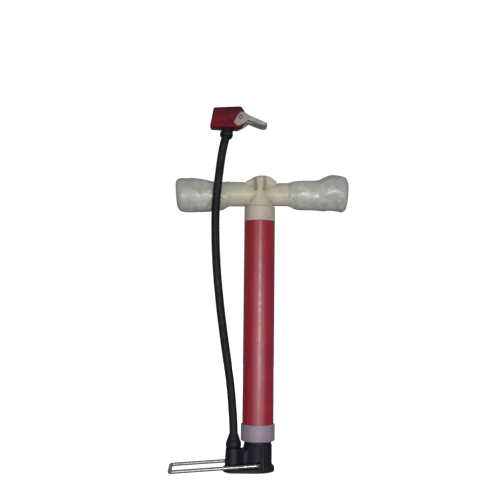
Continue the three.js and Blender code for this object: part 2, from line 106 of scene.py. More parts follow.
# The hose leaves the boss straight up, leans on the front of the left grip and enters the head from below.
HOSE_ROUTE = [
    (-23, -6, 25), (-23, -6, 32), (-23.1, -6, 40), (-23.5, -6.2, 48), (-24.3, -6.7, 58),
    (-25.4, -7.5, 71), (-27.1, -8.8, 86), (-29.3, -10.2, 101), (-31.7, -11.6, 117), (-34, -12.9, 133),
    (-36.2, -14, 149), (-38.1, -15, 165), (-39.8, -15.9, 181), (-41.1, -16.7, 197), (-42, -17.4, 213),
    (-42.5, -17.8, 229), (-42.6, -18, 243), (-42.1, -18.2, 256), (-41.2, -18.9, 267), (-40.1, -21, 277),
    (-38.9, -24.4, 286), (-37.6, -28.4, 294.5), (-36.1, -31.3, 303), (-34.7, -32.5, 309.5),
    (-33.5, -32, 314.6), (-32.6, -30.8, 318.9), (-31.9, -29.9, 322.7),
]
HOSE_RADIUS = 4

# ------------ meshes from grids and profiles


def make_piece(node, shape, finish, body="pump_body"):
    """A smooth-shaded mesh piece of (points, faces) that rides on a body and stands for a CAD node."""
    points, faces = shape
    mesh = bpy.data.meshes.new(node + "_fine")
    build = bmesh.new()
    corners = [build.verts.new(point) for point in (np.asarray(points) * MM).tolist()]
    for face in np.asarray(faces).tolist():
        build.faces.new([corners[i] for i in face])
    bmesh.ops.remove_doubles(build, verts=build.verts, dist=WELD_MM * MM)
    if build.calc_volume(signed=True) < 0:
        bmesh.ops.reverse_faces(build, faces=build.faces)
    build.to_mesh(mesh)
    build.free()
    mesh.polygons.foreach_set("use_smooth", [True] * len(mesh.polygons))
    mesh.materials.append(finish.material)
    piece = placed(node + "_fine", mesh)
    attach(piece, body)
    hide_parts(node)
    return piece


def fillet(profile, radius, closed=True, steps=4):
    """A line of points with its corners rounded, each by the radius or by what its sides have room for."""
    points = [np.array(p, float) for i, p in enumerate(profile) if i == 0 or p != profile[i - 1]]
    out = []
    for i, corner in enumerate(points):
        if not closed and i in (0, len(points) - 1):
            out.append(corner)
            continue
        before, after = points[i - 1] - corner, points[(i + 1) % len(points)] - corner
        long_before, long_after = np.linalg.norm(before), np.linalg.norm(after)
        before, after = before / long_before, after / long_after
        half = math.acos(float(np.clip(before @ after, -1, 1))) / 2
        reach = min(radius / max(math.tan(half), 0.01), 0.45 * long_before, 0.45 * long_after)
        start, end = corner + before * reach, corner + after * reach
        for t in np.linspace(0, 1, steps + 1):
            out.append((1 - t) ** 2 * start + 2 * t * (1 - t) * corner + t ** 2 * end)
    return np.array(out)


def round_about(sides):
    """Even angles round a circle."""
    return np.arange(sides) * 2 * math.pi / sides


def ring_faces(rings, sides, wrap=False):
    """Quads between rings of points, each ring closed on itself."""
    faces = []
    for i in range(rings if wrap else rings - 1):
        for j in range(sides):
            k = (j + 1) % sides
            below, above = i * sides, ((i + 1) % rings) * sides
            faces.append((below + j, below + k, above + k, above + j))
    return np.array(faces)


def lathe(profile, radius=0.3, segments=96):
    """Points and faces of a profile of [radius, height] turned about Z, with its corners filleted.
    A profile that starts and ends on the axis is a solid, and any other closes on itself."""
    solid = profile[0][0] == 0 and profile[-1][0] == 0
    line = fillet(profile, radius, closed=not solid)
    angles = round_about(segments)
    points = np.stack([
        line[:, :1] * np.cos(angles), line[:, :1] * np.sin(angles),
        np.repeat(line[:, 1:2], segments, axis=1),
    ], axis=-1)
    return points.reshape(-1, 3), ring_faces(len(line), segments, wrap=not solid)


def band(inner, outer, bottom, top):
    """The profile of a plain ring."""
    return [(inner, bottom), (outer, bottom), (outer, top), (inner, top)]


def between(a, b, low, high, t):
    """The value at t on the straight line from a at low to b at high."""
    return (a * (high - t) + b * (t - low)) / (high - low)


def smooth_line(route, per_stretch=8):
    """A centripetal Catmull-Rom curve through the route's points."""
    route = np.array(route, float)
    padded = np.vstack([2 * route[0] - route[1], route, 2 * route[-1] - route[-2]])
    out = []
    for i in range(len(route) - 1):
        p = padded[i:i + 4]
        knots = np.concatenate([[0], np.cumsum(np.linalg.norm(np.diff(p, axis=0), axis=1) ** 0.5)])
        for t in np.linspace(knots[1], knots[2], per_stretch, endpoint=False):
            a = [between(p[k], p[k + 1], knots[k], knots[k + 1], t) for k in range(3)]
            b = [between(a[k], a[k + 1], knots[k], knots[k + 2], t) for k in range(2)]
            out.append(between(*b, knots[1], knots[2], t))
    return np.array(out + [route[-1]])


def spaced(line, step):
    """The same line with points about a step apart."""
    along = np.concatenate([[0], np.cumsum(np.linalg.norm(np.diff(line, axis=0), axis=1))])
    wanted = np.linspace(0, along[-1], max(2, int(round(along[-1] / step)) + 1))
    return np.stack([np.interp(wanted, along, column) for column in line.T], axis=1)


def circle(radius, sides):
    angles = round_about(sides)
    return np.stack([np.cos(angles), np.sin(angles)], axis=1) * radius


def tube(line, radius, chamfer=0.0, sides=32):
    """Rings carried along a line without twisting, with both ends chamfered and closed to a point."""
    radii = np.full(len(line), float(radius))
    radii[[0, -1]] -= chamfer
    ahead = np.gradient(line, axis=0)
    ahead /= np.linalg.norm(ahead, axis=1)[:, None]
    angles = round_about(sides)
    side = np.cross(ahead[0], [0.01, 1, 0.003])
    rings = []
    for centre, forward, reach in zip(line, ahead, radii):
        side = side - forward * (side @ forward)
        side /= np.linalg.norm(side)
        up = np.cross(forward, side)
        around = np.cos(angles)[:, None] * side + np.sin(angles)[:, None] * up
        rings.append(centre + around * reach)
    rings = [np.repeat(line[:1], sides, axis=0), *rings, np.repeat(line[-1:], sides, axis=0)]
    return np.concatenate(rings), ring_faces(len(rings), sides)


# ------------ signed distance fields, in millimetres


def soft_min(a, b, k):
    """The smaller of two distances, with a fillet of about k where they meet."""
    h = np.maximum(k - np.abs(a - b), 0) / k
    return np.minimum(a, b) - h * h * k / 4


def soft_max(a, b, k):
    return -soft_min(-a, -b, k)


def cut(solid, tool, k=0.5):
    return soft_max(solid, -tool, k)


def convex(p, outline, k):
    """Signed distance in the plane to a convex outline whose corners are rounded by about k."""
    outline = np.asarray(outline, float)
    middle, result = outline.mean(axis=0), None
    for a, b in zip(outline, np.roll(outline, -1, axis=0)):
        normal = np.array([b[1] - a[1], a[0] - b[0]]) / np.linalg.norm(b - a)
        normal = normal if (middle - a) @ normal < 0 else -normal
        away = (p - a) @ normal
        result = away if result is None else soft_max(result, away, k)
    return result


def rounded(past, rounding):
    """Distance to a shape with rounded edges, from how far past each of its sides the points are."""
    past = past + rounding
    return np.minimum(past.max(axis=-1), 0) + np.linalg.norm(np.maximum(past, 0), axis=-1) - rounding


def slab(flat, across, half, rounding):
    """A flat outline's distance made into a plate of that half thickness, with its edges rounded."""
    return rounded(np.stack([flat, np.abs(across) - half], axis=-1), rounding)


def upright(p, centre, radius, low, high, rounding=0.0):
    """A cylinder along Z."""
    flat = np.hypot(p[:, 0] - centre[0], p[:, 1] - centre[1]) - radius
    return slab(flat, p[:, 2] - (low + high) / 2, (high - low) / 2, rounding)


def rod_along(p, start, direction, radius, low, high, rounding=0.0):
    """A cylinder along any unit direction, between two distances from its start."""
    rel = p - np.asarray(start, float)
    along = rel @ direction
    flat = np.sqrt(np.maximum((rel ** 2).sum(1) - along ** 2, 0)) - radius
    return slab(flat, along - (low + high) / 2, (high - low) / 2, rounding)


def block(p, low, high, rounding):
    low, high = np.array(low, float), np.array(high, float)
    return rounded(np.abs(p - (low + high) / 2) - (high - low) / 2, rounding)


BLOCK = 6  # grid steps to one coarse cell
MARGIN = 1.5  # how far a shape may swell past the box of its CAD node


def sampled(field, low, step, cells):
    """The field on a fine grid, worked out in full only in the coarse cells that the surface may cross."""
    coarse = step * BLOCK
    corners = [low[a] + coarse * (np.arange(cells[a]) + 0.5) for a in range(3)]
    centres = np.stack(np.meshgrid(*corners, indexing="ij"), axis=-1).reshape(-1, 3)
    rough = field(centres).reshape(cells)
    near = np.abs(rough) < coarse * 1.1
    values, wanted = rough, near
    for axis in range(3):
        values, wanted = np.repeat(values, BLOCK, axis), np.repeat(wanted, BLOCK, axis)
    index = np.argwhere(wanted)
    values = values.copy()
    values[wanted] = field(low + (index + 0.5) * step)
    return values


def surface_net(field, low, high, step):
    """Points and quads on the field's zero level: one point to each grid cell that the surface crosses."""
    low = np.array(low, float) - 2 * step
    cells = np.ceil((np.array(high, float) + 2 * step - low) / (step * BLOCK)).astype(int)
    value = sampled(field, low, step, cells)
    inside = value < 0
    shape = np.array(value.shape) - 1
    total, weight = np.zeros((*shape, 3)), np.zeros(shape)
    corner = [slice(0, -1), slice(1, None)]
    for axis in range(3):
        others = [a for a in range(3) if a != axis]
        for u in (0, 1):
            for v in (0, 1):
                near, far = [None] * 3, [None] * 3
                near[axis], far[axis] = corner[0], corner[1]
                for a, side in zip(others, (u, v)):
                    near[a] = far[a] = corner[side]
                va, vb = value[tuple(near)], value[tuple(far)]
                crossed = inside[tuple(near)] != inside[tuple(far)]
                with np.errstate(divide="ignore", invalid="ignore"):
                    share = np.where(crossed, va / (va - vb), 0)
                place = [None] * 3
                place[axis] = share
                place[others[0]], place[others[1]] = u, v
                for a in range(3):
                    total[..., a] += np.where(crossed, place[a], 0)
                weight += crossed
    used = weight > 0
    numbers = np.full(shape, -1)
    numbers[used] = np.arange(used.sum())
    cell = np.argwhere(used)
    points = low + (cell + 0.5 + total[used] / weight[used][:, None]) * step
    faces = []
    for axis in range(3):
        a, b = [x for x in range(3) if x != axis]
        ahead = np.take(inside, range(1, inside.shape[axis]), axis)
        here = np.take(inside, range(inside.shape[axis] - 1), axis)
        at = np.argwhere(ahead != here)
        ring = []
        for back_a, back_b in ((1, 1), (0, 1), (0, 0), (1, 0)):
            place = at.copy()
            place[:, a] -= back_a
            place[:, b] -= back_b
            ring.append(numbers[tuple(place.T)])
        quads = np.stack(ring, axis=1)
        outward = here[tuple(at.T)] != (axis == 1)
        quads[~outward] = quads[~outward][:, ::-1]
        faces.append(quads)
    return points, np.concatenate(faces)


def onto(field, points, reach=0.01):
    """The points moved to the surface along the field's slope."""
    here = field(points)
    slope = np.stack([(field(points + step) - here) / reach for step in np.eye(3) * reach], axis=1)
    return points - (here / np.maximum((slope ** 2).sum(1), 0.2))[:, None] * slope


def settled(field, points, faces, rounds=3):
    """Evens out the points along the surface and puts them exactly on it."""
    ends = np.concatenate([faces[:, [a, b]] for a, b in ((0, 1), (1, 2), (2, 3), (3, 0))])
    start, end = np.concatenate([ends, ends[:, ::-1]]).T
    count = np.bincount(start, minlength=len(points))[:, None]
    for _ in range(rounds):
        total = [np.bincount(start, weights=points[end, a], minlength=len(points)) for a in range(3)]
        points = onto(field, points + 0.5 * (np.stack(total, axis=1) / count - points))
    return onto(field, points)


def moulded(field, low, high, step):
    """Points and faces of the zero level of a signed distance field within a box or just past it."""
    points, faces = surface_net(field, np.array(low) - MARGIN, np.array(high) + MARGIN, step)
    return settled(field, points, faces), faces


# ------------ materials


class Finish:
    """A Principled material and its slot, with short calls for the procedural nodes that feed it.
    Places are in metres."""

    def __init__(self, name, **sockets):
        self.slot = name  # the material itself gets a number where the CAD model has that name already
        self.material = bpy.data.materials.new(name)
        self.material.use_nodes = True
        self.tree = self.material.node_tree
        self.shader = self.tree.nodes["Principled BSDF"]
        for socket, value in sockets.items():
            self.shader.inputs[socket.replace("_", " ")].default_value = value
        self.place = self.node("ShaderNodeTexCoord").outputs["Object"]

    def node(self, kind, inputs=(), **settings):
        made = self.tree.nodes.new(kind)
        for key, value in settings.items():
            setattr(made, key, value)
        for key, value in dict(inputs).items():
            if isinstance(value, bpy.types.NodeSocket):
                self.tree.links.new(value, made.inputs[key])
            else:
                made.inputs[key].default_value = value
        return made

    def stretched(self, stretch):
        return self.node("ShaderNodeMapping", {"Vector": self.place, "Scale": stretch}).outputs["Vector"]

    def noise(self, size_mm, detail=3.0, stretch=(1, 1, 1), warp=0.0):
        """Cloudy noise from 0 to 1 whose lumps are about that size."""
        return self.node("ShaderNodeTexNoise", {
            "Vector": self.stretched(stretch), "Scale": 1 / (size_mm * MM), "Detail": detail,
            "Distortion": warp,
        }).outputs["Fac"]

    def ramp(self, value, low, high, to_low=0.0, to_high=1.0):
        return self.node("ShaderNodeMapRange", {
            "Value": value, "From Min": low, "From Max": high, "To Min": to_low, "To Max": to_high,
        }, interpolation_type="SMOOTHSTEP").outputs["Result"]

    def maths(self, operation, a, b=0.0):
        return self.node("ShaderNodeMath", {0: a, 1: b}, operation=operation).outputs[0]

    def times(self, *factors):
        product = factors[0]
        for factor in factors[1:]:
            product = self.maths("MULTIPLY", product, factor)
        return product

    def blend(self, share, a, b):
        """A colour between two, each a tuple of three numbers or a socket."""
        a, b = (c if isinstance(c, bpy.types.NodeSocket) else (*c, 1) for c in (a, b))
        return self.node("ShaderNodeMix", {0: share, 6: a, 7: b}, data_type="RGBA").outputs[2]

    def clouds(self, size_mm, a, b, detail=4.0, warp=0.6, low=0.3, high=0.7):
        """Soft patches of two colours."""
        return self.blend(self.ramp(self.noise(size_mm, detail, warp=warp), low, high), a, b)

    def edges(self, low, high):
        """From 0 on flat faces to 1 along convex edges."""
        return self.ramp(self.node("ShaderNodeNewGeometry").outputs["Pointiness"], low, high)

    def along(self, axis):
        """The place along one axis, in metres."""
        return self.node("ShaderNodeSeparateXYZ", {"Vector": self.place}).outputs[axis]

    def scratches(self, streak):
        """Fine scratches, drawn out where the streak is small."""
        return self.ramp(self.noise(0.5, 2.0, streak), 0.66, 0.78)

    def in_patches(self, scratches):
        return self.times(scratches, self.ramp(self.noise(9.0), 0.4, 0.8))

    def rubbed_edges(self):
        return self.times(self.edges(0.53, 0.66), self.ramp(self.noise(3.0), 0.4, 0.7))

    def colour(self, socket):
        self.tree.links.new(socket, self.shader.inputs["Base Color"])

    def roughness(self, socket):
        self.tree.links.new(socket, self.shader.inputs["Roughness"])

    def cloudy_roughness(self, low, high):
        self.roughness(self.ramp(self.noise(4.0, 5.0), 0.3, 0.75, low, high))

    def relief(self, *heights):
        """Bumps from pairs of a height socket and its depth in millimetres."""
        normal = None
        for height, depth_mm in heights:
            inputs = {"Height": height, "Distance": depth_mm * MM}
            if normal is not None:
                inputs["Normal"] = normal
            normal = self.node("ShaderNodeBump", inputs).outputs["Normal"]
        self.tree.links.new(normal, self.shader.inputs["Normal"])


def moulding(name, gloss, base, pale, dark, rough, blotch_mm, streak, grain, depths):
    """A handled moulding, clouded with a darker tone, darker in its hollows with dirt and painted shade, and
    scuffed pale on its faces and edges. The two depths are of its grain, whose noise is given, and of its
    scratches."""
    finish = Finish(name, Specular_IOR_Level=gloss)
    colour = finish.clouds(blotch_mm, dark, base, high=0.75)
    # dirt and painted shade: darker where the surface is hollow
    dirt_and_shade = finish.times(finish.edges(0.497, 0.462), finish.ramp(finish.noise(4.0), 0.2, 0.5))
    colour = finish.blend(dirt_and_shade, colour, tuple(0.45 * c for c in dark))
    scratches = finish.scratches(streak)
    colour = finish.blend(finish.in_patches(scratches), colour, pale)
    finish.colour(finish.blend(finish.rubbed_edges(), colour, pale))
    finish.cloudy_roughness(*rough)
    finish.relief((finish.noise(*grain), depths[0]), (scratches, depths[1]))
    return finish


def milky():
    """Aged creamy plastic with dirt and painted shade in the hub's flutes and hollows, and painted red
    bounce light at its foot.
    """
    finish = Finish("milky_plastic", Specular_IOR_Level=0.3, Subsurface_Weight=0.15,
                    Subsurface_Radius=(0.9, 0.8, 0.55), Subsurface_Scale=2 * MM)
    height, aside = finish.along("Z"), finish.maths("ABSOLUTE", finish.along("X"))
    # painted red bounce light from the barrel: pinker towards the foot
    red_bounce = finish.ramp(height, 0.242, 0.262, 0.55, 0.0)
    base = finish.blend(red_bounce, (0.52, 0.475, 0.365), (0.44, 0.37, 0.325))
    dark = finish.blend(red_bounce, (0.43, 0.39, 0.30), (0.37, 0.31, 0.275))
    colour = finish.clouds(11.0, dark, base, high=0.75)
    colour = finish.blend(finish.ramp(aside, 0.018, 0.031, 0.0, 0.7), colour, (0.42, 0.41, 0.335))
    across = finish.stretched((1, 1, 0))
    from_axis = finish.node("ShaderNodeVectorMath", {0: across}, operation="LENGTH").outputs["Value"]
    from_flute = finish.maths("ABSOLUTE", finish.maths("SUBTRACT", aside, 0.0047))
    flutes = finish.times(
        finish.ramp(from_axis, 0.0112, 0.0123, 1.0, 0.0), finish.ramp(from_flute, 0.0009, 0.0021, 1.0, 0.0),
        finish.ramp(height, 0.2675, 0.270), finish.ramp(height, 0.280, 0.283, 1.0, 0.3),
    )
    # dirt and painted shade: brown in the hub's flutes and hollows
    dirt_and_shade = finish.times(finish.maths("MAXIMUM", flutes, finish.edges(0.49, 0.44)),
                         finish.ramp(finish.noise(3.0), 0.2, 0.55, 0.45, 0.8))
    colour = finish.blend(dirt_and_shade, colour, (0.19, 0.155, 0.11))
    scratches = finish.scratches((1, 0.3, 1))
    finish.colour(finish.blend(finish.in_patches(scratches), colour, (0.60, 0.57, 0.47)))
    finish.cloudy_roughness(0.3, 0.48)
    finish.relief((finish.noise(5.0, 2.0), 0.12), (finish.noise(0.6), 0.015), (scratches, 0.015))
    return finish


def sleeve():
    """Cloudy soft plastic, creamy where the handle shows through its rim and darker towards its tip.
    Its pale mottled patches are partly the film's cloudiness and partly painted highlight.
    """
    finish = Finish("grip_sleeve", Specular_IOR_Level=0.38, Subsurface_Weight=0.2,
                    Subsurface_Radius=(0.9, 0.85, 0.7), Subsurface_Scale=2 * MM,
                    Coat_Weight=0.12, Coat_Roughness=0.2)
    colour = finish.clouds(10.0, (0.34, 0.35, 0.30), (0.46, 0.46, 0.425), 3.0, 0.8, high=0.72)
    aside = finish.maths("ABSOLUTE", finish.along("X"))
    colour = finish.blend(finish.ramp(aside, 0.030, 0.044, 0.7, 0.0), colour, (0.44, 0.425, 0.34))
    colour = finish.blend(finish.ramp(aside, 0.060, 0.086, 0.0, 0.55), colour, (0.29, 0.29, 0.28))
    # pale mottled patches: the film's cloudiness and painted highlight
    haze_and_sheen = finish.ramp(finish.noise(4.8, 2.0, warp=1.2), 0.56, 0.72, 0.0, 0.65)
    finish.colour(finish.blend(haze_and_sheen, colour, (0.62, 0.62, 0.58)))
    finish.roughness(finish.ramp(finish.noise(5.0, 3.0), 0.3, 0.7, 0.24, 0.48))
    finish.relief((finish.noise(5.5, 2.0, (0.8, 1, 1), warp=0.6), 0.35), (finish.noise(0.6), 0.01))
    return finish


def rubber(name, streak):
    finish = Finish(name, Specular_IOR_Level=0.14)
    colour = finish.clouds(14.0, (0.007, 0.007, 0.0075), (0.012, 0.012, 0.0125), warp=0.0)
    bloom = finish.ramp(finish.noise(2.0, 5.0, streak), 0.52, 0.75, 0.0, 0.4)
    finish.colour(finish.blend(bloom, colour, (0.026, 0.026, 0.027)))
    finish.roughness(finish.ramp(finish.noise(3.0, 4.0), 0.3, 0.7, 0.42, 0.62))
    finish.relief((finish.noise(0.8, 2.0, streak), 0.03), (finish.noise(0.25, 2.0), 0.01))
    return finish


def red_head():
    """Deep red, with painted shade along its edges and towards the top."""
    finish = Finish("red_head", Specular_IOR_Level=0.1)
    colour = finish.clouds(10.0, (0.085, 0.002, 0.007), (0.175, 0.003, 0.011))
    middle_z = HEAD_PIN[2] * MM
    height = finish.along("Z")
    # painted shade: darker towards the top and along convex edges, less so low down
    painted_shade = finish.ramp(height, middle_z - 0.004, middle_z + 0.010, 0.0, 0.92)
    less_shade_below = finish.ramp(height, middle_z - 0.010, middle_z - 0.003, 0.1, 0.7)
    painted_shade = finish.maths("MAXIMUM", painted_shade, finish.times(finish.edges(0.503, 0.53), less_shade_below))
    painted_shade = finish.times(painted_shade, finish.ramp(finish.noise(4.0), 0.25, 0.6, 0.6, 1.0))
    finish.colour(finish.blend(painted_shade, colour, (0.035, 0.006, 0.009)))
    finish.cloudy_roughness(0.4, 0.56)
    scratches = finish.scratches((0.25, 1, 1))
    finish.relief((finish.noise(3.5, 2.0), 0.05), (finish.noise(0.4), 0.015), (scratches, 0.02))
    return finish


def grey_plastic():
    """The lever's plastic, rubbed pale at its edges, with a painted pinkish sheen on its cheeks beside the
    red head.
    """
    finish = Finish("grey_plastic", Specular_IOR_Level=0.3)
    pin_x = HEAD_PIN[0] * MM
    # painted pinkish sheen on the cheeks about the pin
    cheek_sheen = finish.ramp(finish.along("X"), pin_x + 0.004, pin_x + 0.009, 1.0, 0.0)
    base = finish.blend(cheek_sheen, (0.31, 0.315, 0.305), (0.33, 0.265, 0.255))
    dark = finish.blend(cheek_sheen, (0.23, 0.235, 0.225), (0.25, 0.205, 0.20))
    colour = finish.clouds(5.0, dark, base)
    finish.colour(finish.blend(finish.rubbed_edges(), colour, (0.5, 0.49, 0.47)))
    finish.cloudy_roughness(0.42, 0.6)
    finish.relief((finish.noise(0.5), 0.02), (finish.scratches((0.2, 1, 1)), 0.02))
    return finish


def metal(name, base, dull, rough, streak, dirt):
    """Drawn or turned metal with fine lines, tarnish in clouds, and specks of dirt."""
    finish = Finish(name, Metallic=1.0)
    colour = finish.clouds(6.0, base, dull, 5.0, 0.5, 0.42, 0.75)
    specks = finish.ramp(finish.noise(0.7, 4.0), 0.62, 0.7, 0.0, dirt)
    finish.colour(finish.blend(specks, colour, (0.09, 0.07, 0.05)))
    lines = finish.noise(0.12, 3.0, streak)
    finish.roughness(finish.ramp(lines, 0.3, 0.75, *rough))
    finish.relief((lines, 0.003), (finish.noise(2.5, 2.0), 0.012))
    return finish


RED_TUBE = moulding("red_tube", 0.5, (0.31, 0.013, 0.030), (0.36, 0.04, 0.06), (0.26, 0.010, 0.025),
                    (0.29, 0.38), 26, (1, 1, 0.04), (2.5, 1.0, (1, 1, 0.04)), (0.01, 0.003))
MILKY, SLEEVE = milky(), sleeve()
LILAC = moulding("lilac_plastic", 0.45, (0.29, 0.225, 0.29), (0.38, 0.33, 0.38), (0.24, 0.185, 0.24),
                 (0.42, 0.58), 9, (1, 1, 0.3), (0.5,), (0.02, 0.02))
BLACK = moulding("black_plastic", 0.16, (0.011, 0.012, 0.02), (0.043, 0.046, 0.07), (0.0066, 0.0072, 0.012),
                 (0.4, 0.6), 8, (1, 0.25, 1), (0.45, 2.0), (0.03, 0.02))
RUBBER, RED_HEAD, GREY = rubber("hose_rubber", (1, 1, 0.06)), red_head(), grey_plastic()
WHITE = moulding("white_plastic", 0.4, (0.68, 0.66, 0.6), (0.8, 0.79, 0.75), (0.55, 0.53, 0.47),
                 (0.35, 0.5), 6, (1, 1, 0.2), (0.5,), (0.02, 0.015))
SEAL = rubber("seal_rubber", (1, 1, 1))
WIRE = metal("stirrup_wire", (0.42, 0.42, 0.415), (0.26, 0.255, 0.245), (0.22, 0.36), (0.05, 1, 1), 0.6)
STEEL = metal("steel", (0.62, 0.62, 0.62), (0.45, 0.44, 0.42), (0.18, 0.34), (1, 1, 0.08), 0.25)
PIN = metal("pin_steel", (0.24, 0.235, 0.23), (0.15, 0.14, 0.13), (0.4, 0.55), (1, 1, 1), 0.5)
PIN.slot = "steel"
BRASS = metal("brass", (0.68, 0.47, 0.19), (0.45, 0.31, 0.13), (0.2, 0.38), (1, 1, 4), 0.2)

# ------------ barrel, collar and cap

BARREL_WALL = 1.5
COLLAR_THREAD, COLLAR_SHOULDER = 13.3, 33  # radius that screws onto the base, height that carries the barrel
CAP_WEB, CAP_SHOULDER, CAP_HOLE = 231.5, 250.5, 6.3  # heights of the web that holds the bush, its hole
BUSH_FLANGE = 250.8


def turned(node, profile, finish, radius=0.3, segments=96, axis=None, body="pump_body"):
    """A lathed piece about the barrel's axis, or about an axis given as a direction and a place.
    Weighted normals keep its flat faces flat in the shading beside their fillets."""
    points, faces = lathe(profile, radius, segments)
    if axis:
        direction, place = axis
        turn = np.array(Vector((0, 0, 1)).rotation_difference(Vector(direction)).to_matrix())
        points = points @ turn.T + np.array(place, float)
    piece = make_piece(node, (points, faces), finish, body)
    modifier = piece.modifiers.new("normals", "WEIGHTED_NORMAL")
    modifier.keep_sharp, modifier.weight = True, 80


def barrel_and_ends():
    low, high = box_mm("barrel")
    outer, inner, bottom, top = high[0], high[0] - BARREL_WALL, low[2], high[2]
    turned("barrel", band(inner, outer, bottom, top), RED_TUBE, 0.25, 128)

    low, high = box_mm("bottom_collar")
    wide = high[0]
    turned("bottom_collar", [
        (COLLAR_THREAD, low[2]), (wide - 0.6, low[2]), (wide, low[2] + 0.9), (wide, high[2] - 0.6),
        (wide - 0.4, high[2]), (outer + GAP, high[2]), (outer + GAP, COLLAR_SHOULDER),
        (COLLAR_THREAD, COLLAR_SHOULDER),
    ], LILAC, 0.45, 128)

    low, high = heights("top_cap")
    turned("top_cap", [
        (9.5, low), (inner - GAP, low), (inner - GAP, top + GAP), (outer, top + GAP),
        (outer, high - 0.4), (outer - 0.4, high), (8.3, high), (8.3, CAP_SHOULDER),
        (CAP_HOLE, CAP_SHOULDER), (CAP_HOLE, CAP_WEB), (9.5, CAP_WEB),
    ], MILKY, 0.4, 128)

    low, high = heights("guide_bush")
    bore = ROD_RADIUS + GAP
    turned("guide_bush", [
        (bore, low), (6, low), (6, BUSH_FLANGE), (8, BUSH_FLANGE), (8, high),
        (bore + 0.5, high), (bore, high - 0.8),
    ], WHITE)

    low, high = box_mm("base_gasket")
    turned("base_gasket", band(-low[0] - 1.5, high[0], low[2], high[2]), SEAL, 0.7)


# ------------ base

FOOT_CENTRE, FOOT_HALF, FOOT_THICK = -8.7, (24.4, 15.5), 4
HEEL_POWER, TOE_POWER = 2.67, 2.05  # how square each half of the foot's oval is
TOE_X, TOE_THICK = 6, 6.2
BODY_RADIUS, RIB, RIB_STEP, RIBBED_HALF = 13.1, 0.5, 13, 84.5  # degrees for the last two
BODY_TOP, NECK_RADIUS, NECK_TOP = 25.5, 13, 39
NECK_GROOVE = 35.3  # height of the gasket's groove
BOSS_RADII = (8.2, 8.2, 7.7, 7.3)  # at the floor, the top of the foot, 6 mm below the boss's top, and there
PANEL_OUTLINE = [(-13.9, 0), (-13.9, 19), (-12.6, 20.8), (-9.6, 21.2), (-7, 20), (-7, 0)]
PANEL_Y, PANEL_HALF = -5, 5.2
WELL_RADIUS, WELL_FLOOR = 3, 4.2
PASSAGE_Z, PASSAGE_RADIUS, THROAT_RADIUS = 6, 1.8, 2
VALVE_BORE, VALVE_FLOOR = 4.5, 8.5
PIVOT, PIVOT_HOLE, PIVOT_DEPTH = (1, 8.3), 2.05, 8.5  # the stirrup's: x and z, radius, |y| of its floor
THROUGH = 60  # a height or distance that leads clear out of a piece


def foot_outline(p):
    """Distance in the plane to the foot's full oval."""
    power = np.where(p[:, 0] < FOOT_CENTRE, HEEL_POWER, TOE_POWER)
    x, y = np.abs(p[:, 0] - FOOT_CENTRE) + 1e-6, np.abs(p[:, 1]) + 1e-6
    reach = ((x / FOOT_HALF[0]) ** power + (y / FOOT_HALF[1]) ** power) ** (1 / power)
    slope = reach ** (1 - power) * np.hypot(x ** (power - 1) / FOOT_HALF[0] ** power,
                                            y ** (power - 1) / FOOT_HALF[1] ** power)
    return (reach - 1) / slope


def ribbed_radius(p):
    """The body's radius, ribbed on the side away from the hose."""
    degrees = np.degrees(np.arctan2(p[:, 1], p[:, 0]))
    waves = 0.5 + 0.5 * np.cos(2 * math.pi * degrees / RIB_STEP)
    ribbed = np.clip((RIBBED_HALF - np.abs(degrees)) * 0.8, 0, 1)
    return BODY_RADIUS + RIB * (1 - ribbed * (1 - waves))


def base_field(p):
    x, y, z = p.T
    across = np.hypot(x, y)
    foot = slab(foot_outline(p), z - FOOT_THICK / 2, FOOT_THICK / 2, 0.9)
    toe = slab(soft_max(foot_outline(p), TOE_X - x, 2), z - TOE_THICK / 2, TOE_THICK / 2, 1.8)
    body = slab(across - ribbed_radius(p), z - BODY_TOP / 2, BODY_TOP / 2, 0.7)
    neck = slab(across - NECK_RADIUS, z - NECK_TOP / 2, NECK_TOP / 2, 0.8)
    from_boss = np.hypot(x - BOSS[0], y - BOSS[1])
    boss_top = heights("hose_nut")[0] - GAP
    boss_radius = np.interp(z, [0, FOOT_THICK, boss_top - 6, boss_top], BOSS_RADII)
    boss = slab(from_boss - boss_radius, z - boss_top / 2, boss_top / 2, 0.5)
    reach = math.hypot(*BOSS)
    towards = np.array(BOSS) / reach
    along, beside = p[:, :2] @ towards, p[:, :2] @ np.array([-towards[1], towards[0]])
    web = block(np.stack([along, beside, z], axis=1), (6, -4, 0), (reach, 4, boss_top - 0.6), 0.9)
    panel = slab(convex(p[:, [0, 2]], PANEL_OUTLINE, 1), y - PANEL_Y, PANEL_HALF, 0.7)
    solid = soft_min(soft_min(boss, web, 1.5), soft_min(body, panel, 0.8), 2)
    solid = soft_min(solid, soft_min(foot, toe, 1.5), 2.2)
    solid = soft_max(np.minimum(solid, neck), -z, 0.8)
    groove = slab(np.abs(across - NECK_RADIUS) - 1.6, z - NECK_GROOVE, 1.3, 0.2)
    well = upright(p, (0, 0), WELL_RADIUS, WELL_FLOOR, THROUGH)
    passage = rod_along(p, (0, 0, PASSAGE_Z), np.array([*towards, 0]), PASSAGE_RADIUS, 0, reach)
    throat = upright(p, BOSS, THROAT_RADIUS, WELL_FLOOR, THROUGH)
    seat = upright(p, BOSS, VALVE_BORE, VALVE_FLOOR, THROUGH)
    pivots = np.maximum(np.hypot(x - PIVOT[0], z - PIVOT[1]) - PIVOT_HOLE, PIVOT_DEPTH - np.abs(y))
    for tool in (groove, well, passage, throat, seat, pivots):
        solid = cut(solid, tool, 0.4)
    return solid


def base():
    make_piece("base", moulded(base_field, *box_mm("base"), 0.34), BLACK)
    turned("hose_nut", [
        (5.8, 22.9), (6.9, 22.9), (7.35, 24.4), (7.4, 26.2), (7.1, 28), (5.9, 31.2), (4.9, 34.2),
        (4.7, 35.2), (HOSE_RADIUS + GAP, 35.2), (HOSE_RADIUS + GAP, 25.6), (5.8, 25.6),
    ], BLACK, 1.0, axis=AT_BOSS)


# ------------ handle

